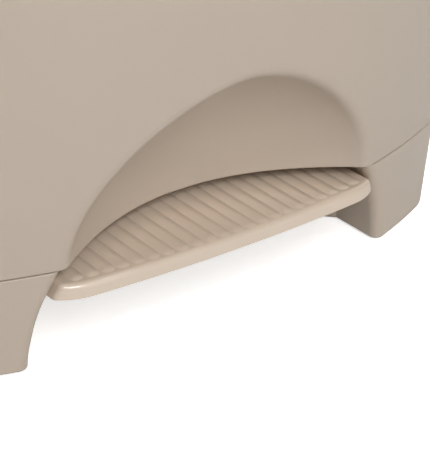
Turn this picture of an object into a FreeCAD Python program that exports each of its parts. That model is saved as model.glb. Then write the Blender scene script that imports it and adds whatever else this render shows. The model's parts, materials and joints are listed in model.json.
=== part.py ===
import FreeCAD, Part
import math
import os

# Hooded cat litter box on a footed base, with a ribbed step that is the front of a pull-out tray.
# Millimetres. +Z is up, the entry faces -Y, X = 0 is the plane of symmetry, and the origin is on
# the floor in the middle of the outline.

V = FreeCAD.Vector
X_AXIS = V(1, 0, 0)
Z_AXIS = V(0, 0, 1)

# ---- driving dimensions -------------------------------------------------------------------------
RECESS_W = 260.0                    # width of the arched recess where the tub meets the base
SEAM_Z = 74.8                       # height of the joint line between base and tub
SEAM_GAP = 0.8                      # shadow gap in that joint line
HALF_W = 250.0                      # half width of the body at the joint line
HALF_D = 255.0                      # half depth of the body at the joint line
FRONT_R = 545.5                     # plan radius of the bowed front
REAR_R = 900.0                      # plan radius of the flatter rear
CORNER_R = 45.0                     # plan radius of the four corners
WALL = 3.0                          # moulded wall of tub and hood
BASE_WALL = 3.6                     # heavier wall of the base
FIT = 0.3                           # gap between pieces that slide or sit together
PIN_FIT = 0.05                      # radial running clearance of the pins

FRONT_LEAN = 0.076                  # the tub's wall leans outwards, and leans more with height
FRONT_CURVE = 0.0001615
SIDE_LEAN = 0.050
SIDE_CURVE = 0.00005
BASE_FRONT_DRAFT = 3.1              # the base draws in towards the floor
BASE_SIDE_DRAFT = 7.0

RIM_Z = 290.0                       # top of the tub's rim
RIM_T = 8.0
RIM_OUT = 7.0
HOOD_TOP_Z = 520.0

# ---- recess, scoop and step ---------------------------------------------------------------------
ARCH_H = 108.7                      # height of the arch above the joint line
ARCH_POWER = 1.70                   # power of the superellipse that the arch follows
SCOOP_D = 67.3                      # how far the scoop goes in at the joint line
NICHE_FLOOR_HALF_W = 153.0          # half gap between the feet at the floor
NICHE_D = 104.0
NICHE_CORNER_Y = -182.0             # behind this line the niche's rear corners are cut off at 45 degrees
NICHE_LEVELS = (-4.0, 18.0, 36.0, 54.0, 70.0, 82.0)
FOOT_EDGE_R = 7.0
FOOT_BOTTOM_R = 2.6
ARCH_EDGE_R = 10.0                  # soft rounding where the scoop breaks out of the wall
SEAM_EDGE_R = 0.9                   # rounding of both edges of the joint line

DECK_Z = 51.0                       # top of the deck that the tray runs on
DECK_T = 3.0
LEDGE_Z = 67.7                      # ledge inside the base that carries the tub
LEDGE_T = 3.0
LEDGE_REACH = 5.5                   # the ledge stands this far in from the wall
LEDGE_ROOT = 0.4                    # the ledge runs this far into the wall
FLOOR_GAP = 0.8                     # the shell ends this far above the floor, on its rubber feet

STEP_TOP_Z = 64.4
STEP_BOTTOM_Z = 53.5
STEP_SIDE_GAP = 2.0                 # gap between the step's sides and the niche
STEP_FRONT = 4.0                    # step's front face, behind the front-most line of the body
STEP_FRONT_R = 1400.0
STEP_SHOULDER_X = 113.5             # here the bowed front turns into the rounder shoulder
STEP_SHOULDER_R = 45.0
STEP_CORNER_R = 6.0
STEP_EDGE_R = 4.2
STEP_SKIN = 3.2
STEP_LEVELS = (STEP_BOTTOM_Z, 57.0, 60.5, STEP_TOP_Z)
STEP_PILOT_Z = 59.0                 # the step's screw holes start here
STEP_PILOT_L = 5.0
RIB_PITCH = 11.5
RIB_COUNT = 22
RIB_HALF_W = 5.52
RIB_H = 1.25
RIB_START = 7.1                     # ribs begin this far behind the front-most line of the body
RIB_FRONT_R = 850.0                 # plan curve through the front ends of the ribs

TRAY_HALF_W = 126.0
TRAY_FRONT_Y = -171.0
TRAY_REAR_Y = 222.0
TRAY_TOP_Z = 71.0
TRAY_WALL = 2.2
TRAY_CORNER_R = 14.0
TRAY_EDGE_R = 2.0
PAD_T = 7.0
PAD_GAP = 1.5                       # gap between the absorbent pad and the tray's wall
PAD_R = 10.0
LIP_HALF_W = 100.0                  # lip of the tray that the step is screwed to
LIP_D = 52.0
LIP_Z = (58.4, 60.8)
STEP_SCREW_X = (-84.0, -28.0, 28.0, 84.0)
STEP_SCREW_Y = TRAY_FRONT_Y - 34.0
PILOT_R = 1.6

SCREW_HEAD_R = 3.2                  # pan-head screws of rails and step
SCREW_HEAD_T = 1.8
SCREW_HEAD_EDGE_R = 0.7
SCREW_SHANK_R = 1.5
RAIL_SCREW_L = 9.0
STEP_SCREW_L = 4.2
CROSS_HALF_W = 0.35                 # cross recess in the screw's head
CROSS_R = 1.7
CROSS_DEPTH = 0.8

RUNNER_TOP_Z = STEP_BOTTOM_Z - FIT
RAIL_FRONT_Y = -146.0
RAIL_REAR_Y = 214.0
RAIL_X = (117.0, 127.5, 133.5, 147.0)   # runner, guide's two faces, outer edge
GUIDE_TOP_Z = 62.0
RAIL_TAIL_L = 16.0                  # the rail's foot behind the tray
RAIL_STOP_T = 4.0                   # upright end stop on that foot
RAIL_SCREW_X = 140.5
RAIL_SCREW_Y = (-120.0, 34.0, 188.0)

FEET_X = 195.0
FEET_Y = (-188.0, 195.0)
FOOT_PAD_R = 13.0
FOOT_STEM_R = 5.9
FOOT_PAD_T = 3.2
FOOT_PAD_EDGE_R = 0.8
FOOT_STEM_L = 10.0
FOOT_BOSS_WALL = 1.5                # the boss in the base is this much wider than the rubber pad
FOOT_STEM_FIT = 0.1
FOOT_HOLE_L = 16.0

# ---- tub ----------------------------------------------------------------------------------------
FLOOR_Z = 81.0                      # top of the tub's floor
FLOOR_T = 3.0
RING_INSET = 5.0                    # locating ring under the tub, inside the base's wall
RING_T = 2.4
RING_GAP_HALF_W = 150.0             # the ring is left out behind the scoop
RING_GAP_Y = -100.0
TUB_MID_LEVELS = (130.0, 190.0, 240.0)
RIM_EDGE_R = 2.6
DRAIN_R = 14.0
GRATE_SEAT_D = 1.4                  # depth of the grate's seat in the tub's floor
GRATE_PROUD = 0.8
GRATE_FIT = 0.5
GRATE_MARGIN = 8.0                  # plain border round the slots
GRATE_COLUMNS = 14
GRATE_ROWS = 8
DRAIN_HALF_W = 110.0
DRAIN_Y = (-140.0, 196.0)
GRATE_LAP = 8.0
SLOT_W = 3.0
SLOT_L = 34.0
TONGUE_T = 2.4                      # upstand on the rim that the hood drops over
TONGUE_H = 7.0

# ---- hood ---------------------------------------------------------------------------------------
HOOD_HALF_W = 266.5
HOOD_HALF_D = 282.0
HOOD_FRONT_R = 571.0
HOOD_CORNER_R = 45.0
HOOD_BOTTOM_Z = RIM_Z + 0.6
# height of each level and how far the wall has drawn in by then
HOOD_LEVELS = ((HOOD_BOTTOM_Z, 0.0), (340.0, 1.5), (390.0, 5.0), (430.0, 11.0), (460.0, 20.0),
               (485.0, 34.0), (503.0, 54.0), (514.0, 78.0), (HOOD_TOP_Z, 108.0))

ENTRY_HALF_W = 105.0
ENTRY_Z = (306.0, 478.0)
ENTRY_LOW_R = 26.0
ENTRY_TOP_R = 34.0
FRAME_LAP = 11.0
FRAME_PROUD = 2.2
FRAME_FIT = 0.5                     # gap between the frame's sleeve and the opening
SLEEVE_T = 2.8
SLEEVE_INNER_Y = -226.0

DOOR_Y = -238.0                     # plane of the hanging flap, and its pivot
DOOR_PIVOT_Z = 462.0
DOOR_T = 2.5
DOOR_GAP = 3.4
DOOR_BAR_HALF_W = 89.0
DOOR_BAR_T = 9.0
DOOR_BAR_H = 12.0
DOOR_SLOT_FIT = 0.1
DOOR_STUB_R = 2.5
DOOR_STUB_X = 100.0
DOOR_BLOCK_X = (90.0, 102.0)
DOOR_BLOCK_HALF_H = 7.0
DOOR_BLOCK_FRONT = 5.0              # the block begins this far in front of the pivot
DOOR_TOP_GAP = 3.2
DOOR_TOP_R = 9.0
RIVET_X = (-60.0, 0.0, 60.0)
RIVET_DROP = 8.0                    # rivets below the pivot
RIVET_R = 2.2
RIVET_FIT = 0.1
RIVET_HEAD_R = 3.4
RIVET_HEAD_T = 1.2

LATCH_PIVOT = (272.2, 322.0)        # x, z
LATCH_HALF_W = 17.0
LATCH_PIN_R = 2.0
LATCH_BARREL_R = 5.0
LATCH_PLATE_X = (271.4, 275.4)
LATCH_HOOK_X = 264.8
LATCH_HOOK_Z = (275.6, 281.3)
LATCH_TAB_Z = 266.0
LATCH_TAB_OUT = (1.5, 5.0)          # how far the tab's two faces swing out from the plate
LATCH_TAB_H = 4.0                   # the tab starts this far above the hook's lower face
LATCH_HOOK_INSET = 2.0
LATCH_EDGE_R = 1.2
LATCH_EAR_OUT = 4.5                 # the ears stand this far beyond the latch, and the pin ends flush
LATCH_EAR_R = 6.0
LATCH_EAR_IN = 1.5
LATCH_EAR_ROOT = 3.5

HANDLE_PIVOT_Y = 52.0
HANDLE_PIVOT_Z = 511.0
HANDLE_REACH = 48.0
HANDLE_HALF_W = 62.0
HANDLE_T = 12.0
HANDLE_ARM_W = 10.0
HANDLE_EYE_R = 8.0
HANDLE_BAR_Y = (-10.0, 8.0)         # the bar's faces about the handle's reach
HANDLE_CORNER_R = 10.0
HANDLE_EDGE_R = 3.0
HANDLE_PIN_R = 3.0
HANDLE_PIN_L = 6.8                  # the pin goes this far into the pocket's wall
POCKET_HALF_W = 70.0
POCKET_Y = (41.0, 124.0)
POCKET_FLOOR_Z = 497.0
POCKET_WALL = 9.0
POCKET_R = 12.0

FILTER_Y = -58.0                    # middle of the filter's hatch
FILTER_HALF_W = 62.0
FILTER_HALF_D = 42.0
FILTER_FLANGE = 7.0
FILTER_CUP_H = 14.0
FILTER_CUP_WALL = 1.6
FILTER_CUP_R = 7.4
FILTER_FLANGE_T = 1.5
FILTER_FLANGE_R = 11.5
FILTER_SINK = 0.1                   # the cassette lies this far below the hood's top
FILTER_FIT = 0.6
CUP_SLOTS = 9
CUP_SLOT_PITCH = 12.5
CUP_SLOT_HALF_W = 3.0
CUP_SLOT_Y = (3.0, 32.0)            # from the middle web to the slot's end
FOAM_T = 9.0
FOAM_GAP = 1.0
FOAM_R = 5.0
COVER_HALF_W = 76.0
COVER_HALF_D = 56.0
COVER_T = 3.6
COVER_PIN_R = 1.6
COVER_PIN_HALF_L = 58.0
COVER_R = 14.0
COVER_GAP = 0.3                     # gap under the closed cover
COVER_EDGE_R = 1.6
COVER_SLOTS = 9
COVER_SLOT_PITCH = 8.4
COVER_SLOT_HALF_W = 1.8
COVER_SLOT_HALF_L = 50.0
COVER_BARREL_R = 2.9
COVER_BARREL_HALF_L = 51.5
COVER_PIN_BACK = 6.2                # the hinge pin behind the cover's edge and above the hood
COVER_PIN_UP = 3.4
COVER_WEB_Z = (0.6, 3.2)
COVER_TAB_HALF_W = 12.0
COVER_TAB_L = 5.0
COVER_TAB_T = 2.4
COVER_TAB_R = 2.0
LUG_X = (52.0, 58.0)                # lugs of the cover's hinge
LUG_Y = (1.2, 11.2)                 # behind the cover's edge
LUG_H = 6.5
BORE_HALF_L = 90.0                  # cutters for pin bores run well past the piece


# ---- helpers ------------------------------------------------------------------------------------
def box(x, y, z):
    return Part.makeBox(x[1] - x[0], y[1] - y[0], z[1] - z[0], V(x[0], y[0], z[0]))


def rod(radius, start, end):
    along = end - start
    return Part.makeCylinder(radius, along.Length, start, along)


def fuse(shapes):
    return shapes[0].multiFuse(shapes[1:]).removeSplitter()


def both_sides(shape):
    """The shape and its twin across the plane of symmetry."""
    return [shape, shape.mirror(V(0, 0, 0), X_AXIS)]


def line(a, b):
    return Part.LineSegment(a, b).toShape()


def arc(a, middle, b):
    return Part.Arc(a, middle, b).toShape()


def outline(z, half_w, front, rear, front_r, rear_r, corner_r):
    """Closed plan outline: bowed front and rear, straight sides and tangent corner arcs."""
    corners = []
    for edge, radius, sign in ((front, front_r, 1), (rear, rear_r, -1)):
        centre = V(0, edge + sign * radius, z)
        corner_x = half_w - corner_r
        drop = math.sqrt((radius - corner_r) ** 2 - corner_x ** 2)
        corner = V(corner_x, centre.y - sign * drop, z)
        away = (corner - centre).normalize()
        bisector = (away + X_AXIS).normalize()
        corners.append((centre + away * radius, corner + bisector * corner_r, corner + X_AXIS * corner_r))
    (f_bow, f_mid, f_side), (r_bow, r_mid, r_side) = corners

    def left(p):
        return V(-p.x, p.y, p.z)

    edges = [arc(left(f_bow), V(0, front, z), f_bow), arc(f_bow, f_mid, f_side), line(f_side, r_side),
             arc(r_side, r_mid, r_bow), arc(r_bow, V(0, rear, z), left(r_bow)),
             arc(left(r_bow), left(r_mid), left(r_side)), line(left(r_side), left(f_side)),
             arc(left(f_side), left(f_mid), left(f_bow))]
    return Part.Wire(edges)


def body_section(z, inset=0.0):
    """Outline of base or tub at a height, drawn in by inset."""
    rise = z - SEAM_Z
    if rise >= 0:
        bulge = FRONT_LEAN * rise + FRONT_CURVE * rise ** 2
        flare = SIDE_LEAN * rise + SIDE_CURVE * rise ** 2
    else:
        bulge = BASE_FRONT_DRAFT * rise / SEAM_Z
        flare = BASE_SIDE_DRAFT * rise / SEAM_Z
    depth = HALF_D + bulge - inset
    return outline(z, HALF_W + flare - inset, -depth, depth, FRONT_R + bulge - inset,
                   REAR_R - inset, CORNER_R - inset)


def body_loft(heights, inset=0.0):
    return Part.makeLoft([body_section(z, inset) for z in heights], True)


def plate(section_z, inset, bottom, top):
    """Flat plate between two heights with the outline that the body has at section_z."""
    wire = body_section(section_z, inset)
    wire.translate(V(0, 0, bottom - section_z))
    return Part.Face(wire).extrude(V(0, 0, top - bottom))


def rounded_rect(half_w, half_d, radius, centre_y, z):
    """Rounded rectangle in plan."""
    wire = rounded_panel(half_w, centre_y - half_d, centre_y + half_d, radius, radius)
    wire.rotate(V(0, 0, 0), X_AXIS, -90)
    return wire.translated(V(0, 0, z))


def rounded_panel(half_w, low, high, low_r, high_r):
    """Rounded rectangle in the XZ plane with its own radius at the bottom and at the top."""
    half = math.sqrt(0.5)
    right = []
    for z, r, sign in ((low, low_r, 1), (high, high_r, -1)):
        centre = V(half_w - r, 0, z + sign * r)
        right.append((V(centre.x, 0, z), centre + V(half * r, 0, -sign * half * r), V(half_w, 0, centre.z)))
    (a, b, c), (f, e, d) = right

    def left(p):
        return V(-p.x, 0, p.z)

    return Part.Wire([line(left(a), a), arc(a, b, c), line(c, d), arc(d, e, f), line(f, left(f)),
                      arc(left(f), left(e), left(d)), line(left(d), left(c)),
                      arc(left(c), left(b), left(a))])


def panel(half_w, low, high, low_r, high_r, y_start, y_end):
    face = Part.Face(rounded_panel(half_w, low, high, low_r, high_r))
    return face.translated(V(0, y_start, 0)).extrude(V(0, y_end - y_start, 0))


def pad(half_w, half_d, radius, centre_y, bottom, top):
    return Part.Face(rounded_rect(half_w, half_d, radius, centre_y, bottom)).extrude(V(0, 0, top - bottom))


def fillet_edges(shape, radius, wanted):
    edges = [e for e in shape.Edges if wanted(e)]
    return shape.makeFillet(radius, edges)


def centre_of(edge):
    return edge.valueAt(0.5 * (edge.FirstParameter + edge.LastParameter))


# ---- scoop and niche ----------------------------------------------------------------------------
def arch_point(angle, reach):
    """Point of the arch family: reach 1 is the rim. Height is above the joint line."""
    power = 2.0 / ARCH_POWER
    across = 0.5 * RECESS_W * reach * math.copysign(abs(math.cos(angle)) ** power, math.cos(angle))
    return across, ARCH_H * reach * abs(math.sin(angle)) ** power


def rim_depth(angle):
    """How far behind the front-most line the wall is where the rim crosses it."""
    across, up = arch_point(angle, 1.0)
    bow = FRONT_R - math.sqrt(FRONT_R ** 2 - across ** 2)
    return bow - FRONT_LEAN * up - FRONT_CURVE * up ** 2


def scoop_reach(angle, depth):
    """Reach of the scoop's level line at a depth behind the front-most line."""
    rim = rim_depth(angle)
    share = (depth - rim) / (SCOOP_D - rim)
    power = 1.0 / (1.0 - 0.5 * math.sin(angle))
    return math.sqrt(max(1.0 - math.copysign(abs(share) ** power, share), 0.0))


def scoop_section(depth, grow):
    """Level line of the scoop at one depth, closed below the joint line."""
    points = []
    for k in range(17):
        angle = math.pi * k / 16
        across, up = arch_point(angle, scoop_reach(angle, depth))
        points.append(V(across + grow * math.cos(angle), -HALF_D + depth + grow,
                        SEAM_Z + up + grow * math.sin(angle)))
    curve = Part.BSplineCurve()
    curve.interpolate(points)
    low = SEAM_Z - 20.0
    first = V(points[0].x, points[0].y, low)
    last = V(points[-1].x, points[-1].y, low)
    return Part.Wire([line(first, points[0]), curve.toShape(), line(points[-1], last), line(last, first)])


def scoop(grow=0.0):
    """Solid that scoops the arched recess out of the tub's front."""
    steps = (1.45, 1.25, 1.1, 0.95, 0.8, 0.65, 0.5, 0.35, 0.2, 0.09)
    depths = [SCOOP_D - 52.0 * s * s for s in steps]
    return Part.makeLoft([scoop_section(d, grow) for d in depths], True)


def niche_half_w(z):
    share = max(min(z / SEAM_Z, 1.0), 0.0)
    return 0.5 * RECESS_W + (NICHE_FLOOR_HALF_W - 0.5 * RECESS_W) * (1.0 - share ** 2)


def cut_corner(half_w, rear, grow):
    """Right-hand side of a plan whose rear corner is cut off at 45 degrees."""
    corner_y = NICHE_CORNER_Y + (math.sqrt(2.0) - 1.0) * grow
    return V(half_w, corner_y, 0), V(half_w + corner_y - rear, rear, 0)


def niche(grow=0.0):
    """Space between the feet. It widens towards the floor."""
    front = -HALF_D - 60.0
    rear = -HALF_D + NICHE_D + grow
    sections = []
    for z in NICHE_LEVELS:
        half_w = niche_half_w(z) + grow
        right = (V(half_w, front, 0),) + cut_corner(half_w, rear, grow)
        points = [V(p.x, p.y, z) for p in right] + [V(-p.x, p.y, z) for p in reversed(right)]
        sections.append(Part.makePolygon(points + points[:1]))
    return Part.makeLoft(sections, True)


# ---- base ---------------------------------------------------------------------------------------
def base_shell():
    top = SEAM_Z - 0.5 * SEAM_GAP
    block = body_loft((FLOOR_GAP, top)).cut(niche())
    block = fillet_edges(block, FOOT_EDGE_R, is_foot_edge)
    block = fillet_edges(block, FOOT_BOTTOM_R, lambda e: centre_of(e).z < FLOOR_GAP + 0.01)
    block = fillet_edges(block, SEAM_EDGE_R, lambda e: centre_of(e).z > top - 0.01)
    under = body_loft((-2.0, DECK_Z - DECK_T), BASE_WALL)
    over = body_loft((DECK_Z, SEAM_Z + 2.0), BASE_WALL)
    around_niche = niche(BASE_WALL)
    bay_half_w = 0.5 * RECESS_W + 1.0
    bay = box((-bay_half_w, bay_half_w), (-HALF_D - 5, -HALF_D + NICHE_D + 10), (DECK_Z, SEAM_Z + 5))
    shell = block.cut(under.cut(around_niche)).cut(over.cut(around_niche)).cut(bay)
    ledge = plate(LEDGE_Z, BASE_WALL - LEDGE_ROOT, LEDGE_Z - LEDGE_T, LEDGE_Z)
    ledge_hole = plate(LEDGE_Z, BASE_WALL + LEDGE_REACH, LEDGE_Z - LEDGE_T - 1, LEDGE_Z + 1)
    ledge = ledge.cut(ledge_hole).cut(around_niche)
    bosses = []
    holes = []
    for y in FEET_Y:
        at = V(FEET_X, y, FOOT_PAD_T)
        height = DECK_Z - DECK_T - FOOT_PAD_T + 1
        bosses += both_sides(Part.makeCylinder(FOOT_PAD_R + FOOT_BOSS_WALL, height, at))
        holes += both_sides(Part.makeCylinder(FOOT_STEM_R + FOOT_STEM_FIT, FOOT_HOLE_L, at - Z_AXIS))
    for y in RAIL_SCREW_Y:
        at = V(RAIL_SCREW_X, y, DECK_Z - DECK_T - 1)
        holes += both_sides(Part.makeCylinder(PILOT_R, DECK_T + 2, at))
    return fuse([shell, ledge] + bosses).cut(Part.makeCompound(holes))


def is_foot_edge(edge):
    """The upright edge where a foot's front turns into its inner side."""
    at = centre_of(edge)
    run = edge.valueAt(edge.LastParameter) - edge.valueAt(edge.FirstParameter)
    return abs(run.z) > 40.0 and at.y < -HALF_D + 40.0 and 120.0 < abs(at.x) < 160.0


def rubber_feet():
    feet = []
    for y in FEET_Y:
        disc = Part.makeCylinder(FOOT_PAD_R, FOOT_PAD_T, V(FEET_X, y, 0))
        disc = fillet_edges(disc, FOOT_PAD_EDGE_R, lambda e: centre_of(e).z < 0.01)
        stem = Part.makeCylinder(FOOT_STEM_R, FOOT_STEM_L, V(FEET_X, y, FOOT_PAD_T - 0.5))
        feet += both_sides(fuse([disc, stem]))
    return Part.makeCompound(feet)


def tray_rail():
    """Right-hand rail: runner under the tray, guide beside it and a flange for its screws."""
    run = (RAIL_FRONT_Y, RAIL_REAR_Y)
    strip = box((RAIL_X[0], RAIL_X[3]), run, (DECK_Z, RUNNER_TOP_Z))
    guide = box((RAIL_X[1], RAIL_X[2]), run, (DECK_Z, GUIDE_TOP_Z))
    tail_y = RAIL_REAR_Y + RAIL_TAIL_L
    stop = box((RAIL_X[0], RAIL_X[1] + 1), (tail_y - RAIL_STOP_T, tail_y), (DECK_Z, GUIDE_TOP_Z))
    tail = box((RAIL_X[0], RAIL_X[3]), (RAIL_REAR_Y - 1, tail_y), (DECK_Z, RUNNER_TOP_Z))
    rail = fuse([strip, guide, stop, tail])
    holes = [Part.makeCylinder(PILOT_R, 8.0, V(RAIL_SCREW_X, y, DECK_Z - 2)) for y in RAIL_SCREW_Y]
    return rail.cut(Part.makeCompound(holes))


def screw(at, up, length):
    """Pan-head screw: at is the seat under the head, up points out of the head."""
    head = Part.makeCylinder(SCREW_HEAD_R, SCREW_HEAD_T, at, up)
    head = fillet_edges(head, SCREW_HEAD_EDGE_R,
                        lambda e: (centre_of(e) - at).dot(up) > SCREW_HEAD_T - 0.01)
    long_way = (-SCREW_HEAD_R, SCREW_HEAD_R)
    short_way = (-CROSS_HALF_W, CROSS_HALF_W)
    blades = fuse([box(long_way, short_way, (0, 1)), box(short_way, long_way, (0, 1))])
    cross = blades.common(Part.makeCylinder(CROSS_R, 1))
    if up.z < 0:
        cross = cross.mirror(V(0, 0, 0), Z_AXIS)
    cross.translate(at + up * (SCREW_HEAD_T - CROSS_DEPTH))
    shank = Part.makeCylinder(SCREW_SHANK_R, length, at + up * 0.2, up * -1)
    return fuse([head, shank]).cut(cross)


def rail_screws():
    screws = []
    for y in RAIL_SCREW_Y:
        screws += both_sides(screw(V(RAIL_SCREW_X, y, RUNNER_TOP_Z), Z_AXIS, RAIL_SCREW_L))
    return Part.makeCompound(screws)


# ---- tray with the step -------------------------------------------------------------------------
def tray_pan():
    middle = 0.5 * (TRAY_FRONT_Y + TRAY_REAR_Y)
    half_d = 0.5 * (TRAY_REAR_Y - TRAY_FRONT_Y)
    outer = pad(TRAY_HALF_W, half_d, TRAY_CORNER_R, middle, STEP_BOTTOM_Z, TRAY_TOP_Z)
    outer = fillet_edges(outer, TRAY_EDGE_R, lambda e: centre_of(e).z < STEP_BOTTOM_Z + 0.01)
    inner = pad(TRAY_HALF_W - TRAY_WALL, half_d - TRAY_WALL, TRAY_CORNER_R - TRAY_WALL, middle,
                STEP_BOTTOM_Z + TRAY_WALL, TRAY_TOP_Z + 1)
    lip = box((-LIP_HALF_W, LIP_HALF_W), (TRAY_FRONT_Y - LIP_D, TRAY_FRONT_Y + 1), LIP_Z)
    holes = [Part.makeCylinder(PILOT_R, 6.0, V(x, STEP_SCREW_Y, LIP_Z[0] - 1.4)) for x in STEP_SCREW_X]
    return fuse([outer.cut(inner), lip]).cut(Part.makeCompound(holes))


def tray_screws():
    seats = [V(x, STEP_SCREW_Y, LIP_Z[0]) for x in STEP_SCREW_X]
    return Part.makeCompound([screw(at, Z_AXIS * -1, STEP_SCREW_L) for at in seats])


def step_section(z, inset=0.0):
    """Plan of the step: bowed front, round shoulders, small corners and sides that follow the niche."""
    half_w = niche_half_w(z) - STEP_SIDE_GAP - inset
    front = -HALF_D + STEP_FRONT + inset
    bow_r = STEP_FRONT_R - inset
    shoulder_r = STEP_SHOULDER_R - inset
    corner_r = STEP_CORNER_R - inset
    bow_centre = V(0, front + bow_r, z)
    turn = math.asin(STEP_SHOULDER_X / STEP_FRONT_R)
    shoulder_dir = V(math.sin(turn), -math.cos(turn), 0)
    shoulder_centre = bow_centre + shoulder_dir * (bow_r - shoulder_r)
    bow_end = bow_centre + shoulder_dir * bow_r
    across = half_w - corner_r - shoulder_centre.x
    along = math.sqrt((shoulder_r - corner_r) ** 2 - across ** 2)
    corner_centre = shoulder_centre + V(across, -along, 0)
    corner_dir = V(across, -along, 0).normalize()
    shoulder_mid = shoulder_centre + (shoulder_dir + corner_dir).normalize() * shoulder_r
    shoulder_end = shoulder_centre + corner_dir * shoulder_r
    corner_mid = corner_centre + (corner_dir + X_AXIS).normalize() * corner_r
    side_start = corner_centre + X_AXIS * corner_r
    side_end, rear_end = cut_corner(half_w, TRAY_FRONT_Y - FIT - inset, -STEP_SIDE_GAP - inset)
    side_end.z = z
    rear_end.z = z

    def left(p):
        return V(-p.x, p.y, p.z)

    right = [arc(bow_end, shoulder_mid, shoulder_end), arc(shoulder_end, corner_mid, side_start),
             line(side_start, side_end), line(side_end, rear_end)]
    left_side = [line(left(rear_end), left(side_end)), line(left(side_end), left(side_start)),
                 arc(left(side_start), left(corner_mid), left(shoulder_end)),
                 arc(left(shoulder_end), left(shoulder_mid), left(bow_end))]
    bow = arc(left(bow_end), V(0, front, z), bow_end)
    return Part.Wire([bow] + right + [line(rear_end, left(rear_end))] + left_side)


def step_plate():
    body = Part.makeLoft([step_section(z) for z in STEP_LEVELS], True)
    rounded = fillet_edges(body, STEP_EDGE_R, lambda e: centre_of(e).z > STEP_TOP_Z - 0.01
                           and centre_of(e).y < TRAY_FRONT_Y - 1)
    under_top = STEP_TOP_Z - STEP_SKIN
    hollow_levels = (STEP_BOTTOM_Z - 1, STEP_LEVELS[1], under_top)
    hollow = Part.makeLoft([step_section(z, STEP_SKIN) for z in hollow_levels], True)
    lip_way = box((-LIP_HALF_W - 1, LIP_HALF_W + 1), (TRAY_FRONT_Y - 10, TRAY_FRONT_Y + 1),
                  (STEP_BOTTOM_Z - 1, under_top))
    pilots = [Part.makeCylinder(PILOT_R, STEP_PILOT_L, V(x, STEP_SCREW_Y, STEP_PILOT_Z))
              for x in STEP_SCREW_X]
    shell = rounded.cut(hollow).cut(lip_way).cut(Part.makeCompound(pilots))
    return fuse([shell] + [step_rib(k) for k in range(RIB_COUNT)])


def step_rib(k):
    """One low crowned rib with a domed front end."""
    x = (k - 0.5 * (RIB_COUNT - 1)) * RIB_PITCH
    bow = RIB_FRONT_R - math.sqrt(RIB_FRONT_R ** 2 - x ** 2)
    nose_y = -HALF_D + RIB_START + bow + RIB_HALF_W
    outer_side = abs(x) + RIB_HALF_W
    corner_line = NICHE_CORNER_Y - 1.0 + niche_half_w(STEP_TOP_Z) - STEP_SIDE_GAP - outer_side
    rear = min(TRAY_FRONT_Y - 1.5, corner_line - 1.0)
    radius = (RIB_HALF_W ** 2 + RIB_H ** 2) / (2 * RIB_H)
    middle = V(x, nose_y, STEP_TOP_Z + RIB_H - radius)
    crown = fuse([rod(radius, middle, V(x, rear, middle.z)), Part.makeSphere(radius, middle)])
    keep = box((x - RIB_HALF_W, x + RIB_HALF_W), (nose_y - RIB_HALF_W - 1, rear),
               (STEP_TOP_Z - 0.4, STEP_TOP_Z + RIB_H + 1))
    return crown.common(keep)


def absorbent_pad():
    middle = 0.5 * (TRAY_FRONT_Y + TRAY_REAR_Y)
    half_d = 0.5 * (TRAY_REAR_Y - TRAY_FRONT_Y) - TRAY_WALL - PAD_GAP
    bottom = STEP_BOTTOM_Z + TRAY_WALL
    return pad(TRAY_HALF_W - TRAY_WALL - PAD_GAP, half_d, PAD_R, middle, bottom, bottom + PAD_T)


# ---- tub ----------------------------------------------------------------------------------------
def litter_tub():
    bottom = SEAM_Z + 0.5 * SEAM_GAP
    rim_low = RIM_Z - RIM_T
    levels = (bottom,) + TUB_MID_LEVELS + (RIM_Z,)
    outer = body_loft(levels).cut(scoop())
    outer = fillet_edges(outer, ARCH_EDGE_R, is_arch_edge)
    outer = fillet_edges(outer, SEAM_EDGE_R, lambda e: centre_of(e).z < bottom + 0.01)
    inner_levels = (FLOOR_Z,) + TUB_MID_LEVELS + (RIM_Z + 2,)
    inner = body_loft(inner_levels, WALL).cut(scoop(WALL))
    inner = fillet_edges(inner, ARCH_EDGE_R - WALL, is_arch_edge)
    under = body_loft((bottom - 1, FLOOR_Z - FLOOR_T), WALL).cut(scoop(WALL))
    tub = outer.cut(inner).cut(under)

    flange = plate(rim_low, -RIM_OUT, rim_low, RIM_Z)
    flange = fillet_edges(flange, RIM_EDGE_R, lambda e: abs(e.tangentAt(e.FirstParameter).z) < 0.1)
    flange = flange.cut(plate(rim_low, WALL - 0.5, rim_low - 1, RIM_Z + 1))
    tongue = plate(RIM_Z, 1.0, RIM_Z - 2, RIM_Z + TONGUE_H).cut(
        plate(RIM_Z, 1.0 + TONGUE_T, RIM_Z - 3, RIM_Z + TONGUE_H + 1))
    ring = plate(SEAM_Z, RING_INSET, LEDGE_Z, FLOOR_Z - 1).cut(
        plate(SEAM_Z, RING_INSET + RING_T, LEDGE_Z - 1, FLOOR_Z + 1))
    ring = ring.cut(box((-RING_GAP_HALF_W, RING_GAP_HALF_W), (-HALF_D - 40, RING_GAP_Y),
                        (LEDGE_Z - 2, FLOOR_Z + 2)))

    drain_mid = 0.5 * (DRAIN_Y[0] + DRAIN_Y[1])
    drain_half = 0.5 * (DRAIN_Y[1] - DRAIN_Y[0])
    drain = pad(DRAIN_HALF_W, drain_half, DRAIN_R, drain_mid, FLOOR_Z - FLOOR_T - 1, FLOOR_Z + 1)
    rebate = pad(DRAIN_HALF_W + GRATE_LAP, drain_half + GRATE_LAP, DRAIN_R + 6.0, drain_mid,
                 FLOOR_Z - GRATE_SEAT_D, FLOOR_Z + 1)
    return fuse([tub, flange, tongue, ring]).cut(drain).cut(rebate)


def is_arch_edge(edge):
    """The edge where the scoop breaks out of the tub's wall."""
    ends = [edge.valueAt(edge.FirstParameter), centre_of(edge), edge.valueAt(edge.LastParameter)]
    inside = max(abs(p.x) for p in ends) < 0.5 * RECESS_W + 5.0
    return inside and SEAM_Z + 30.0 < max(p.z for p in ends) < SEAM_Z + ARCH_H + 6.0


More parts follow.
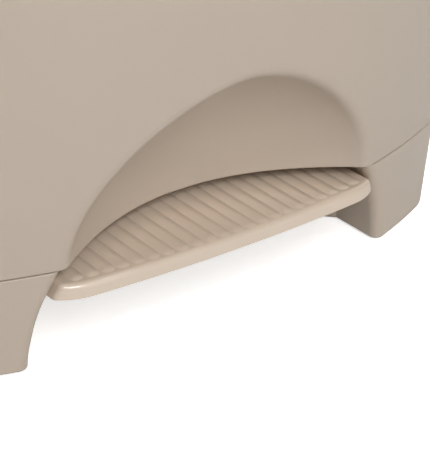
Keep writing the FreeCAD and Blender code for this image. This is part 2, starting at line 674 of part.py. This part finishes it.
def sifting_grate():
    middle = 0.5 * (DRAIN_Y[0] + DRAIN_Y[1])
    half_d = 0.5 * (DRAIN_Y[1] - DRAIN_Y[0])
    lap = pad(DRAIN_HALF_W + GRATE_LAP - GRATE_FIT, half_d + GRATE_LAP - GRATE_FIT, DRAIN_R + 5.5, middle,
              FLOOR_Z - GRATE_SEAT_D, FLOOR_Z + GRATE_PROUD)
    drop = pad(DRAIN_HALF_W - GRATE_FIT, half_d - GRATE_FIT, DRAIN_R - GRATE_FIT, middle,
               FLOOR_Z - FLOOR_T, FLOOR_Z)
    slots = []
    pitch_x = 2 * (DRAIN_HALF_W - GRATE_MARGIN) / (GRATE_COLUMNS - 1)
    pitch_y = 2 * (half_d - GRATE_MARGIN) / GRATE_ROWS
    for i in range(GRATE_COLUMNS):
        x = -DRAIN_HALF_W + GRATE_MARGIN + i * pitch_x
        for j in range(GRATE_ROWS):
            y = middle - half_d + GRATE_MARGIN + (j + 0.5) * pitch_y
            slots.append(box((x - 0.5 * SLOT_W, x + 0.5 * SLOT_W), (y - 0.5 * SLOT_L, y + 0.5 * SLOT_L),
                             (FLOOR_Z - FLOOR_T - 2, FLOOR_Z + GRATE_PROUD + 2)))
    return fuse([lap, drop]).cut(Part.makeCompound(slots))


# ---- hood ---------------------------------------------------------------------------------------
def hood_section(z, inset):
    depth = HOOD_HALF_D - inset
    return outline(z, HOOD_HALF_W - inset, -depth, depth, HOOD_FRONT_R - 0.3 * inset,
                   REAR_R - inset, HOOD_CORNER_R + 0.3 * inset)


def hood_loft(inward):
    """Closed hood form, its skin moved inwards by a distance (negative is outwards)."""
    sections = []
    last = len(HOOD_LEVELS) - 1
    for k, (z, inset) in enumerate(HOOD_LEVELS):
        z_a, inset_a = HOOD_LEVELS[max(k - 1, 0)]
        z_b, inset_b = HOOD_LEVELS[min(k + 1, last)]
        length = math.hypot(z_b - z_a, inset_b - inset_a)
        moved_z = z - inward * (inset_b - inset_a) / length
        if k == last:
            moved_z = z - inward
        moved_inset = inset + inward * (z_b - z_a) / length
        sections.append(hood_section(moved_z, moved_inset))
    return Part.makeLoft(sections, True)


def entry_prism(grow, y_start, y_end):
    return panel(ENTRY_HALF_W + grow, ENTRY_Z[0] - grow, ENTRY_Z[1] + grow,
                 ENTRY_LOW_R + grow, ENTRY_TOP_R + grow, y_start, y_end)


def pocket_pad(grow, bottom, top):
    middle = 0.5 * (POCKET_Y[0] + POCKET_Y[1])
    half_d = 0.5 * (POCKET_Y[1] - POCKET_Y[0])
    return pad(POCKET_HALF_W + grow, half_d + grow, POCKET_R + grow, middle, bottom, top)


def hood_shell():
    outer = hood_loft(0.0)
    inner = hood_loft(WALL)
    skirt_hole = Part.Face(hood_section(HOOD_BOTTOM_Z - 5, WALL)).extrude(V(0, 0, 6))
    shell = outer.cut(fuse([inner, skirt_hole]))
    pocket = pocket_pad(0, POCKET_FLOOR_Z, HOOD_TOP_Z + 5)
    pocket_block = pocket_pad(POCKET_WALL, POCKET_FLOOR_Z - WALL, HOOD_TOP_Z - 1)
    lug_y = (FILTER_Y + COVER_HALF_D + LUG_Y[0], FILTER_Y + COVER_HALF_D + LUG_Y[1])
    lugs = both_sides(box(LUG_X, lug_y, (HOOD_TOP_Z - 1, HOOD_TOP_Z + LUG_H)))
    ears = []
    ear_y = (LATCH_HALF_W + FIT, LATCH_HALF_W + LATCH_EAR_OUT)
    for y in (ear_y, (-ear_y[1], -ear_y[0])):
        ears += both_sides(latch_ear(y))
    body = fuse([shell, pocket_block] + lugs + ears).cut(pocket)
    hatch = pad(FILTER_HALF_W + FILTER_FIT, FILTER_HALF_D + FILTER_FIT, FILTER_CUP_R + FILTER_FIT,
                FILTER_Y, HOOD_TOP_Z - 10, HOOD_TOP_Z + 5)
    seat = FILTER_FLANGE + FILTER_FIT
    rebate = pad(FILTER_HALF_W + seat, FILTER_HALF_D + seat, FILTER_FLANGE_R + FILTER_FIT, FILTER_Y,
                 HOOD_TOP_Z - FILTER_FLANGE_T - 0.2, HOOD_TOP_Z + 0.01)
    cuts = [entry_prism(0, -HOOD_HALF_D - 20, -HOOD_HALF_D + 80), hatch, rebate]
    cuts += both_sides(latch_bore())
    cuts += both_sides(rod(HANDLE_PIN_R + PIN_FIT, V(HANDLE_HALF_W, HANDLE_PIVOT_Y, HANDLE_PIVOT_Z),
                           V(POCKET_HALF_W + HANDLE_PIN_L + 0.2, HANDLE_PIVOT_Y, HANDLE_PIVOT_Z)))
    cuts.append(cover_bore())
    for cutter in cuts:
        body = body.cut(cutter)
    return body


def latch_ear(y):
    x = LATCH_PIVOT[0] - LATCH_EAR_IN
    z = LATCH_PIVOT[1]
    round_end = rod(LATCH_EAR_R, V(x, y[0], z), V(x, y[1], z))
    root = box((HOOD_HALF_W - LATCH_EAR_ROOT, x), y, (z - LATCH_EAR_R, z + LATCH_EAR_R))
    return fuse([round_end, root])


def latch_bore():
    x, z = LATCH_PIVOT
    return rod(LATCH_PIN_R + PIN_FIT, V(x, -BORE_HALF_L, z), V(x, BORE_HALF_L, z))


def entry_frame():
    layer = hood_loft(-FRAME_PROUD)
    front = (-HOOD_HALF_D - 20, -HOOD_HALF_D + 80)
    flange = entry_prism(FRAME_LAP, *front).cut(hood_loft(-FIT)).common(layer)
    sleeve = entry_prism(-FRAME_FIT, front[0], SLEEVE_INNER_Y).common(layer)
    blocks = []
    for side in (-1, 1):
        x = sorted((side * DOOR_BLOCK_X[0], side * DOOR_BLOCK_X[1]))
        blocks.append(box(x, (DOOR_Y - DOOR_BLOCK_FRONT, SLEEVE_INNER_Y),
                          (DOOR_PIVOT_Z - DOOR_BLOCK_HALF_H, DOOR_PIVOT_Z + DOOR_BLOCK_HALF_H)))
    way = entry_prism(-FRAME_FIT - SLEEVE_T, *front)
    frame = fuse([flange, sleeve]).cut(way)
    bore = rod(DOOR_STUB_R + PIN_FIT, V(-DOOR_STUB_X - 1, DOOR_Y, DOOR_PIVOT_Z),
               V(DOOR_STUB_X + 1, DOOR_Y, DOOR_PIVOT_Z))
    return fuse([frame] + blocks).cut(bore)


def door_hinge_bar():
    half = 0.5 * DOOR_BAR_T
    y = (DOOR_Y - half, DOOR_Y + half)
    low = DOOR_PIVOT_Z - DOOR_BAR_H
    blade = box((-DOOR_BAR_HALF_W, DOOR_BAR_HALF_W), y, (low, DOOR_PIVOT_Z))
    back = rod(half, V(-DOOR_BAR_HALF_W, DOOR_Y, DOOR_PIVOT_Z), V(DOOR_BAR_HALF_W, DOOR_Y, DOOR_PIVOT_Z))
    bar = fuse([blade, back])
    slot_half = 0.5 * DOOR_T + DOOR_SLOT_FIT
    slot = box((-DOOR_BAR_HALF_W - 1, DOOR_BAR_HALF_W + 1), (DOOR_Y - slot_half, DOOR_Y + slot_half),
               (low - 1, DOOR_PIVOT_Z - DOOR_TOP_GAP + 0.2))
    stubs = rod(DOOR_STUB_R, V(-DOOR_STUB_X, DOOR_Y, DOOR_PIVOT_Z), V(DOOR_STUB_X, DOOR_Y, DOOR_PIVOT_Z))
    return fuse([bar.cut(slot), stubs]).cut(rivet_rods(RIVET_R + RIVET_FIT, half + 1))


def rivet_rods(radius, half_length):
    z = DOOR_PIVOT_Z - RIVET_DROP
    return Part.makeCompound([rod(radius, V(x, DOOR_Y - half_length, z), V(x, DOOR_Y + half_length, z))
                              for x in RIVET_X])


def door_panel():
    inset = FRAME_FIT + SLEEVE_T + DOOR_GAP
    y = (DOOR_Y - 0.5 * DOOR_T, DOOR_Y + 0.5 * DOOR_T)
    past = (y[0] - 1, y[1] + 1)
    flap = panel(ENTRY_HALF_W - inset, ENTRY_Z[0] + inset, DOOR_PIVOT_Z - DOOR_TOP_GAP,
                 ENTRY_LOW_R - inset, DOOR_TOP_R, *y)
    corner = entry_prism(-inset, *past)
    away = box((DOOR_BAR_HALF_W - 1, ENTRY_HALF_W), past, (DOOR_PIVOT_Z - DOOR_BAR_H - 2, ENTRY_Z[1]))
    flap = flap.common(corner).cut(Part.makeCompound(both_sides(away)))
    return flap.cut(rivet_rods(RIVET_R + RIVET_FIT, DOOR_BAR_T))


def door_rivets():
    rivets = []
    half = 0.5 * DOOR_BAR_T
    z = DOOR_PIVOT_Z - RIVET_DROP
    for x in RIVET_X:
        front = V(x, DOOR_Y - half, z)
        back = V(x, DOOR_Y + half, z)
        head = V(0, RIVET_HEAD_T, 0)
        shank = rod(RIVET_R, front - head * 0.5, back + head * 0.5)
        heads = [rod(RIVET_HEAD_R, front - head, front), rod(RIVET_HEAD_R, back, back + head)]
        rivets.append(fuse([shank] + heads))
    return Part.makeCompound(rivets)


def latch():
    """Right-hand latch: barrel, plate, hook under the rim and a finger tab."""
    x, z = LATCH_PIVOT
    y = (-LATCH_HALF_W, LATCH_HALF_W)
    barrel = rod(LATCH_BARREL_R, V(x, y[0], z), V(x, y[1], z))
    plate_box = box(LATCH_PLATE_X, y, (LATCH_HOOK_Z[0], z))
    plate_box = fillet_edges(plate_box, LATCH_EDGE_R, lambda e: centre_of(e).x > LATCH_PLATE_X[1] - 0.1
                             and abs(centre_of(e).z - z) > 1)
    hook_y = (y[0] + LATCH_HOOK_INSET, y[1] - LATCH_HOOK_INSET)
    hook = box((LATCH_HOOK_X, LATCH_PLATE_X[1] - 1), hook_y, LATCH_HOOK_Z)
    tab_z = LATCH_HOOK_Z[0] + LATCH_TAB_H
    corners = [V(LATCH_PLATE_X[0], y[0], tab_z), V(LATCH_PLATE_X[1], y[0], tab_z),
               V(LATCH_PLATE_X[1] + LATCH_TAB_OUT[1], y[0], LATCH_TAB_Z),
               V(LATCH_PLATE_X[1] + LATCH_TAB_OUT[0], y[0], LATCH_TAB_Z)]
    tab = Part.Face(Part.makePolygon(corners + corners[:1])).extrude(V(0, y[1] - y[0], 0))
    return fuse([barrel, plate_box, hook, tab]).cut(latch_bore())


def latch_pin():
    x, z = LATCH_PIVOT
    half = LATCH_HALF_W + LATCH_EAR_OUT
    return rod(LATCH_PIN_R, V(x, -half, z), V(x, half, z))


def carry_handle():
    """Bail that lies back in its pocket: two arms and a bar."""
    bar_y = [HANDLE_PIVOT_Y + HANDLE_REACH + off for off in HANDLE_BAR_Y]
    z = (HANDLE_PIVOT_Z - 0.5 * HANDLE_T, HANDLE_PIVOT_Z + 0.5 * HANDLE_T)
    arm_x = (HANDLE_HALF_W - HANDLE_ARM_W, HANDLE_HALF_W)
    arm = box(arm_x, (HANDLE_PIVOT_Y, bar_y[1]), z)
    eye = rod(HANDLE_EYE_R, V(arm_x[0], HANDLE_PIVOT_Y, HANDLE_PIVOT_Z),
              V(arm_x[1], HANDLE_PIVOT_Y, HANDLE_PIVOT_Z))
    bar = box((-HANDLE_HALF_W, HANDLE_HALF_W), bar_y, z)
    handle = fuse(both_sides(arm) + both_sides(eye) + [bar])
    handle = fillet_edges(handle, HANDLE_CORNER_R, lambda e: centre_of(e).y > bar_y[1] - 0.1
                          and abs(abs(centre_of(e).x) - HANDLE_HALF_W) < 0.1)
    handle = fillet_edges(handle, HANDLE_EDGE_R, lambda e: centre_of(e).y > bar_y[0] - 0.5
                          and abs(abs(centre_of(e).z - HANDLE_PIVOT_Z) - 0.5 * HANDLE_T) < 0.1)
    bore = rod(HANDLE_PIN_R + PIN_FIT, V(-BORE_HALF_L, HANDLE_PIVOT_Y, HANDLE_PIVOT_Z),
               V(BORE_HALF_L, HANDLE_PIVOT_Y, HANDLE_PIVOT_Z))
    return handle.cut(bore)


def handle_pins():
    pin = rod(HANDLE_PIN_R, V(HANDLE_HALF_W - HANDLE_ARM_W - 1, HANDLE_PIVOT_Y, HANDLE_PIVOT_Z),
              V(POCKET_HALF_W + HANDLE_PIN_L, HANDLE_PIVOT_Y, HANDLE_PIVOT_Z))
    return Part.makeCompound(both_sides(pin))


def filter_cassette():
    top = HOOD_TOP_Z - FILTER_SINK
    bottom = top - FILTER_CUP_H
    flange = pad(FILTER_HALF_W + FILTER_FLANGE, FILTER_HALF_D + FILTER_FLANGE, FILTER_FLANGE_R, FILTER_Y,
                 top - FILTER_FLANGE_T, top)
    cup = pad(FILTER_HALF_W, FILTER_HALF_D, FILTER_CUP_R, FILTER_Y, bottom, top)
    room = pad(FILTER_HALF_W - FILTER_CUP_WALL, FILTER_HALF_D - FILTER_CUP_WALL,
               FILTER_CUP_R - FILTER_CUP_WALL, FILTER_Y, bottom + FILTER_CUP_WALL, top + 1)
    slots = []
    for k in range(CUP_SLOTS):
        x = (k - 0.5 * (CUP_SLOTS - 1)) * CUP_SLOT_PITCH
        across = (x - CUP_SLOT_HALF_W, x + CUP_SLOT_HALF_W)
        for near, far in (CUP_SLOT_Y, (-CUP_SLOT_Y[1], -CUP_SLOT_Y[0])):
            slots.append(box(across, (FILTER_Y + near, FILTER_Y + far), (bottom - 1, top)))
    return fuse([flange, cup]).cut(room).cut(Part.makeCompound(slots))


def charcoal_filter():
    bottom = HOOD_TOP_Z - FILTER_SINK - FILTER_CUP_H + FILTER_CUP_WALL
    inset = FILTER_CUP_WALL + FOAM_GAP
    return pad(FILTER_HALF_W - inset, FILTER_HALF_D - inset, FOAM_R, FILTER_Y, bottom, bottom + FOAM_T)


def cover_pin_place():
    return FILTER_Y + COVER_HALF_D + COVER_PIN_BACK, HOOD_TOP_Z + COVER_PIN_UP


def cover_bore():
    y, z = cover_pin_place()
    return rod(COVER_PIN_R + PIN_FIT, V(-BORE_HALF_L, y, z), V(BORE_HALF_L, y, z))


def filter_cover():
    """Louvred lid over the filter, hinged along its rear edge."""
    low = HOOD_TOP_Z + COVER_GAP
    front = FILTER_Y - COVER_HALF_D
    lid = pad(COVER_HALF_W, COVER_HALF_D, COVER_R, FILTER_Y, low, low + COVER_T)
    lid = fillet_edges(lid, COVER_EDGE_R, lambda e: centre_of(e).z > low + COVER_T - 0.01)
    slots = []
    for k in range(COVER_SLOTS):
        y = FILTER_Y + (k - 0.5 * (COVER_SLOTS - 1)) * COVER_SLOT_PITCH
        slots.append(box((-COVER_SLOT_HALF_L, COVER_SLOT_HALF_L),
                         (y - COVER_SLOT_HALF_W, y + COVER_SLOT_HALF_W), (low - 1, low + COVER_T + 1)))
    pin_y, pin_z = cover_pin_place()
    barrel_x = (-COVER_BARREL_HALF_L, COVER_BARREL_HALF_L)
    barrel = rod(COVER_BARREL_R, V(barrel_x[0], pin_y, pin_z), V(barrel_x[1], pin_y, pin_z))
    web = box(barrel_x, (FILTER_Y + COVER_HALF_D - 1, pin_y), (low + COVER_WEB_Z[0], low + COVER_WEB_Z[1]))
    tab = box((-COVER_TAB_HALF_W, COVER_TAB_HALF_W), (front - COVER_TAB_L, front + 1),
              (low, low + COVER_TAB_T))
    tab = fillet_edges(tab, COVER_TAB_R, lambda e: abs(e.tangentAt(e.FirstParameter).z) > 0.9
                       and centre_of(e).y < front)
    return fuse([lid.cut(Part.makeCompound(slots)), barrel, web, tab]).cut(cover_bore())


def filter_cover_pin():
    pin_y, pin_z = cover_pin_place()
    return rod(COVER_PIN_R, V(-COVER_PIN_HALF_L, pin_y, pin_z), V(COVER_PIN_HALF_L, pin_y, pin_z))


def write(name, shape):
    shape.exportStep(os.path.join("parts", name + ".step"))


def write_pair(name, right):
    write(name + "_right", right)
    write(name + "_left", right.mirror(V(0, 0, 0), X_AXIS))


def main():
    os.makedirs("parts", exist_ok=True)
    write("base_shell", base_shell())
    write("rubber_feet", rubber_feet())
    write_pair("tray_rail", tray_rail())
    write("rail_screws", rail_screws())
    write("tray_pan", tray_pan())
    write("tray_screws", tray_screws())
    write("step_plate", step_plate())
    write("absorbent_pad", absorbent_pad())
    write("litter_tub", litter_tub())
    write("sifting_grate", sifting_grate())
    write("hood_shell", hood_shell())
    write("entry_frame", entry_frame())
    write("door_hinge_bar", door_hinge_bar())
    write("door_panel", door_panel())
    write("door_rivets", door_rivets())
    write_pair("latch", latch())
    write_pair("latch_pin", latch_pin())
    write("carry_handle", carry_handle())
    write("handle_pins", handle_pins())
    write("filter_cassette", filter_cassette())
    write("charcoal_filter", charcoal_filter())
    write("filter_cover", filter_cover())
    write("filter_cover_pin", filter_cover_pin())


main()
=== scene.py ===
import json
import math

import bpy
from mathutils import Matrix, Vector


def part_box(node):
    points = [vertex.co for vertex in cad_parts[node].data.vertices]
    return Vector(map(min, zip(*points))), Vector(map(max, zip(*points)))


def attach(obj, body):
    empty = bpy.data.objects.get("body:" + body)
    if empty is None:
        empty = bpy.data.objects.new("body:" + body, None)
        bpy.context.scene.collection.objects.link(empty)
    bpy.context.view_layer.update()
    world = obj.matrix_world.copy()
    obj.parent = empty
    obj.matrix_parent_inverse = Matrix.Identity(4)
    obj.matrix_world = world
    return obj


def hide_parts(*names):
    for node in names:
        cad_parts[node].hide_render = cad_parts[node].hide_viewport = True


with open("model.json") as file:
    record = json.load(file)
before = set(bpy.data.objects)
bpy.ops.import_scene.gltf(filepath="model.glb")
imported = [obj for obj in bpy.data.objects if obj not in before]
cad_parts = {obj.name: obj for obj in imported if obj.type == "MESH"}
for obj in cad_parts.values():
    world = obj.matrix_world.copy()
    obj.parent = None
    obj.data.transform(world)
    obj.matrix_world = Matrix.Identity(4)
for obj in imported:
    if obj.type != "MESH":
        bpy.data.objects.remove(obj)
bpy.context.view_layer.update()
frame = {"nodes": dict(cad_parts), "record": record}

# ---- camera, fitted to the close-up of the lower front; places in metres, angles in radians -----
CAM_PLACE = (-0.5647, -0.9814, 0.5668)
CAM_YAW = 0.6359
CAM_PITCH = 0.4980
CAM_ROLL = 0.00626
CAM_LENS = 115.5
CAM_SHIFT = (0.017, -0.0035)


def make_camera():
    fwd = Vector((math.sin(CAM_YAW) * math.cos(CAM_PITCH), math.cos(CAM_YAW) * math.cos(CAM_PITCH),
                  -math.sin(CAM_PITCH)))
    right = Vector((math.cos(CAM_YAW), -math.sin(CAM_YAW), 0))
    up = right.cross(fwd)
    side = right * math.cos(CAM_ROLL) + up * math.sin(CAM_ROLL)
    top = up * math.cos(CAM_ROLL) - right * math.sin(CAM_ROLL)
    data = bpy.data.cameras.new("camera")
    data.sensor_width = 36.0
    data.lens = CAM_LENS
    data.shift_x, data.shift_y = CAM_SHIFT
    data.clip_start = 0.01
    cam = bpy.data.objects.new("camera", data)
    bpy.context.collection.objects.link(cam)
    turn = Matrix((side, top, -fwd)).transposed().to_4x4()
    cam.matrix_world = Matrix.Translation(CAM_PLACE) @ turn
    bpy.context.scene.camera = cam


# ---- materials ----------------------------------------------------------------------------------
class Nodes:
    """Small helper that adds nodes to one material and links them."""

    def __init__(self, name):
        self.material = bpy.data.materials.new(name)
        self.material.use_nodes = True
        self.tree = self.material.node_tree
        self.shader = self.tree.nodes["Principled BSDF"]
        self.coords = self.tree.nodes.new("ShaderNodeTexCoord").outputs["Object"]

    def add(self, kind, inputs):
        node = self.tree.nodes.new(kind)
        for key, value in inputs.items():
            if isinstance(value, bpy.types.NodeSocket):
                self.tree.links.new(value, node.inputs[key])
            else:
                node.inputs[key].default_value = value
        return node

    def noise(self, scale, detail=3.0, rough=0.5):
        return self.add("ShaderNodeTexNoise", {"Vector": self.coords, "Scale": scale, "Detail": detail,
                                               "Roughness": rough}).outputs["Fac"]

    def ramp(self, fac, stops):
        """A colour ramp with two stops, each a place and a colour."""
        node = self.add("ShaderNodeValToRGB", {"Fac": fac})
        for element, (place, colour) in zip(node.color_ramp.elements, stops):
            element.position = place
            element.color = colour
        return node.outputs["Color"]

    def bump(self, height, strength, distance, normal=None):
        inputs = {"Height": height, "Strength": strength, "Distance": distance}
        if normal is not None:
            inputs["Normal"] = normal
        return self.add("ShaderNodeBump", inputs).outputs["Normal"]

    def link(self, output, socket):
        self.tree.links.new(output, self.shader.inputs[socket])

    def fix(self, **values):
        for key, value in values.items():
            self.shader.inputs[key.replace("_", " ")].default_value = value


def grey(v):
    return (v, v, v, 1.0)


def moulded(name, colour, roughness, coat=0.0, coat_roughness=0.2, grain=0.05, mottle=0.012):
    """Injection-moulded plastic: slow colour drift, faint flow waviness, fine grain, soft scuffs."""
    n = Nodes(name)
    dark = tuple(c * (1 - mottle) for c in colour) + (1.0,)
    light = tuple(min(c * (1 + mottle), 1.0) for c in colour) + (1.0,)
    n.link(n.ramp(n.noise(5.0, 2.0), [(0.3, dark), (0.7, light)]), "Base Color")
    scuff_stops = [(0.3, grey(roughness * 0.95)), (0.75, grey(roughness * 1.06))]
    n.link(n.ramp(n.noise(60.0, 4.0, 0.6), scuff_stops), "Roughness")
    wave = n.bump(n.noise(7.0, 1.0), 0.12, 0.0006)
    fine = n.bump(n.noise(1600.0, 2.0), grain, 0.00004, wave)
    n.link(fine, "Normal")
    n.fix(Coat_Weight=coat, Coat_Roughness=coat_roughness, IOR=1.5)
    return n.material


SHELL = (0.505, 0.425, 0.347)
STEP = (0.70, 0.58, 0.465)
TRIM = (0.30, 0.25, 0.20)
INNER = (0.42, 0.365, 0.305)


def smoked_flap():
    n = Nodes("smoked_flap")
    tint = [(0.3, (0.50, 0.47, 0.42, 1)), (0.7, (0.56, 0.53, 0.48, 1))]
    n.link(n.ramp(n.noise(30.0, 4.0), tint), "Base Color")
    n.link(n.ramp(n.noise(60.0, 5.0), [(0.4, grey(0.12)), (0.75, grey(0.25))]), "Roughness")
    n.fix(Transmission_Weight=0.75, IOR=1.49)
    return n.material


def plain_steel():
    n = Nodes("plain_steel")
    tint = [(0.3, (0.46, 0.46, 0.47, 1)), (0.7, (0.60, 0.60, 0.60, 1))]
    n.link(n.ramp(n.noise(300.0, 3.0), tint), "Base Color")
    n.link(n.ramp(n.noise(500.0, 3.0), [(0.3, grey(0.28)), (0.7, grey(0.42))]), "Roughness")
    n.fix(Metallic=1.0)
    return n.material


def matt(name, dark, light, mottle, grain, bump, roughness):
    """Matt stuff; mottle and grain are scale and detail of a noise, bump is strength and height."""
    n = Nodes(name)
    n.link(n.ramp(n.noise(*mottle), [(0.3, dark), (0.7, light)]), "Base Color")
    n.link(n.bump(n.noise(*grain), *bump), "Normal")
    n.fix(Roughness=roughness)
    return n.material


def soft_rubber():
    dark = (0.045, 0.043, 0.04, 1)
    light = (0.075, 0.072, 0.068, 1)
    return matt("soft_rubber", dark, light, (80.0, 4.0), (900.0, 3.0), (0.4, 0.0002), 0.75)


def absorbent_fabric():
    dark = (0.68, 0.68, 0.66, 1)
    light = (0.80, 0.80, 0.78, 1)
    return matt("absorbent_fabric", dark, light, (120.0, 5.0), (700.0, 4.0), (0.6, 0.0006), 0.95)


def carbon_foam():
    return matt("carbon_foam", grey(0.008), grey(0.05), (500.0, 5.0), (600.0, 4.0), (0.9, 0.0012), 0.9)


def make_materials():
    return {
        "shell": moulded("taupe_shell", SHELL, 0.4, coat=0.3, coat_roughness=0.22),
        "step": moulded("taupe_step", STEP, 0.36, coat=0.8, coat_roughness=0.05),
        "trim": moulded("dark_taupe_trim", TRIM, 0.34, coat=0.15),
        "inner": moulded("taupe_inner", INNER, 0.48, grain=0.2),
        "flap": smoked_flap(),
        "pin": plain_steel(),
        "rubber": soft_rubber(),
        "pad": absorbent_fabric(),
        "charcoal": carbon_foam(),
    }


def dress(mats):
    slots = {part["node"]: part["material_slot"] for part in frame["record"]["subparts"]}
    for name, obj in frame["nodes"].items():
        obj.data.materials.clear()
        obj.data.materials.append(mats[slots[name]])


# ---- soft pieces --------------------------------------------------------------------------------
CORNER = 0.010                      # plan radius of both slabs' corners
PAD_WAIST = 0.0015                  # how far its sides pull in between the corners
PAD_GRID = (150, 130)
PAD_BLUNT = 26                      # the higher, the later the crown falls off to the edge
FOAM_WAIST = 0.0004
FOAM_GRID = (60, 44)
FOAM_BLUNT = 60
QUILT_PITCH = 0.032
QUILT_WIDTH = 0.0035
QUILT_DEPTH = 0.42                  # share of the crown that a sewn channel takes away
EDGE_HEIGHT = 0.35                  # the joined edge lies at this share of the slab's thickness


def rounded_plan(x, y, half_x, half_y, corner):
    """Moves a point of a square-cornered plan onto one with round corners."""
    dx = abs(x) - (half_x - corner)
    dy = abs(y) - (half_y - corner)
    if dx > 0 and dy > 0:
        turn_x = dx * math.sqrt(1 - 0.5 * (dy / corner) ** 2)
        turn_y = dy * math.sqrt(1 - 0.5 * (dx / corner) ** 2)
        x = math.copysign(half_x - corner + turn_x, x)
        y = math.copysign(half_y - corner + turn_y, y)
    return x, y


def quilt(x, y):
    """1 in the middle of a quilted cell, less along the sewn channels, which cross on the diagonal."""
    keep = 1.0
    for along in ((x + y) / math.sqrt(2), (x - y) / math.sqrt(2)):
        off = (along / QUILT_PITCH - round(along / QUILT_PITCH)) * QUILT_PITCH
        keep -= QUILT_DEPTH * math.exp(-(off / QUILT_WIDTH) ** 2)
    return max(keep, 1 - QUILT_DEPTH)


def soft_slab(name, node, body, material, count, blunt, sewn, waist):
    """A closed slab in a CAD solid's box: flat below, crowned on top, joined along one edge line."""
    lo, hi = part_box(node)
    mid = (Vector(lo) + Vector(hi)) / 2
    half_x, half_y = (hi[0] - lo[0]) / 2, (hi[1] - lo[1]) / 2
    thick = hi[2] - lo[2]
    nx, ny = count
    verts, faces, layers = [], [], ({}, {})
    for top in (1, 0):
        for j in range(ny + 1):
            for i in range(nx + 1):
                u = math.sin(math.pi * (i / nx - 0.5))
                v = math.sin(math.pi * (j / ny - 0.5))
                edge = i in (0, nx) or j in (0, ny)
                if edge and not top:
                    layers[0][i, j] = layers[1][i, j]
                    continue
                x, y = rounded_plan(u * half_x, v * half_y, half_x, half_y, CORNER)
                pull_x = waist * (1 - v * v) * u * u
                pull_y = waist * (1 - u * u) * v * v
                x -= math.copysign(pull_x, u)
                y -= math.copysign(pull_y, v)
                full = 1 - max(abs(u), abs(v)) ** blunt
                if top:
                    crown = math.sqrt(max(full, 0.0)) * (quilt(x, y) if sewn else 1.0)
                    rise = EDGE_HEIGHT + (1 - EDGE_HEIGHT) * crown
                else:
                    rise = EDGE_HEIGHT * (1 - math.sqrt(max(full, 0.0)))
                layers[top][i, j] = len(verts)
                verts.append((mid.x + x, mid.y + y, lo[2] + thick * min(rise, 1.0)))
    for top in (1, 0):
        at = layers[top]
        for j in range(ny):
            for i in range(nx):
                ring = [at[i, j], at[i + 1, j], at[i + 1, j + 1], at[i, j + 1]]
                faces.append(ring if top else ring[::-1])
    mesh = bpy.data.meshes.new(name)
    mesh.from_pydata(verts, [], faces)
    mesh.polygons.foreach_set("use_smooth", [True] * len(faces))
    mesh.materials.append(material)
    obj = bpy.data.objects.new(name, mesh)
    bpy.context.collection.objects.link(obj)
    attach(obj, body)
    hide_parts(node)
    return obj


def make_soft(mats):
    pad = soft_slab("quilted_pad", "absorbent_pad", "tray", mats["pad"],
                    PAD_GRID, PAD_BLUNT, True, PAD_WAIST)
    foam = soft_slab("filter_foam", "charcoal_filter", "hood", mats["charcoal"],
                     FOAM_GRID, FOAM_BLUNT, False, FOAM_WAIST)


# ---- floor, world and lights --------------------------------------------------------------------
FLOOR_SIZE = 14.0
FLOOR_GLOW = 0.6
BACKDROP_R = 6.9                    # just inside the floor's edge
BACKDROP_GLOW = 0.62
WORLD_STRENGTH = 0.08
AIM = (0.0, -0.1, 0.15)             # most lights point at the middle of the front
LIP_AIM = (0.0, -0.2, 0.06)         # the edge glint points at the step


def make_stage():
    bpy.ops.mesh.primitive_plane_add(size=FLOOR_SIZE, location=(0, 0, 0))
    floor = bpy.context.object
    floor.name = "floor"
    n = Nodes("pale_floor")
    n.link(n.ramp(n.noise(3.0), [(0.3, grey(0.88)), (0.7, grey(0.90))]), "Base Color")
    n.fix(Roughness=0.6, Emission_Color=(1, 1, 1, 1), Emission_Strength=FLOOR_GLOW)
    floor.data.materials.append(n.material)
    # the floor's glow lights nothing but the floor itself
    glow = bpy.data.collections.new("floor_glow")
    glow.objects.link(floor)
    floor.light_linking.receiver_collection = glow
    bpy.ops.mesh.primitive_uv_sphere_add(segments=96, ring_count=48, radius=BACKDROP_R)
    backdrop = bpy.context.object
    backdrop.name = "backdrop"
    # hidden from diffuse, glossy and shadow rays; the camera sees it, and so does the clear flap
    backdrop.visible_diffuse = False
    backdrop.visible_glossy = False
    backdrop.visible_shadow = False
    n = Nodes("pale_backdrop")
    n.fix(Base_Color=grey(0.0), Roughness=1.0, Specular_IOR_Level=0.0)
    n.fix(Emission_Color=grey(1.0), Emission_Strength=BACKDROP_GLOW)
    backdrop.data.materials.append(n.material)


def area_light(name, place, aim, size, power):
    data = bpy.data.lights.new(name, "AREA")
    data.shape = "RECTANGLE"
    data.size, data.size_y = size
    data.energy = power
    obj = bpy.data.objects.new(name, data)
    bpy.context.collection.objects.link(obj)
    obj.location = place
    obj.rotation_mode = "QUATERNION"
    obj.rotation_quaternion = (Vector(aim) - Vector(place)).to_track_quat("-Z", "Y")
    obj.visible_camera = False


def make_light():
    scene = bpy.context.scene
    world = bpy.data.worlds.new("studio")
    world.use_nodes = True
    background = world.node_tree.nodes["Background"]
    background.inputs["Color"].default_value = grey(1.0)
    background.inputs["Strength"].default_value = WORLD_STRENGTH
    scene.world = world
    scene.view_settings.view_transform = "Standard"
    area_light("key", (-0.60, -2.50, 1.90), AIM, (1.3, 1.3), 53)
    area_light("low", (0.45, -2.95, 0.75), AIM, (1.2, 0.9), 6)
    area_light("edge_glint", (0.95, -1.95, 2.35), LIP_AIM, (0.4, 0.14), 7)
    area_light("side_left", (-2.6, 0.6, 1.7), AIM, (1.6, 1.6), 14)
    area_light("side_right", (2.6, 0.6, 1.7), AIM, (1.6, 1.6), 14)
    area_light("back", (0.0, 2.7, 1.6), AIM, (2.0, 1.6), 36)


make_camera()
make_stage()
make_light()
materials = make_materials()
dress(materials)
make_soft(materials)
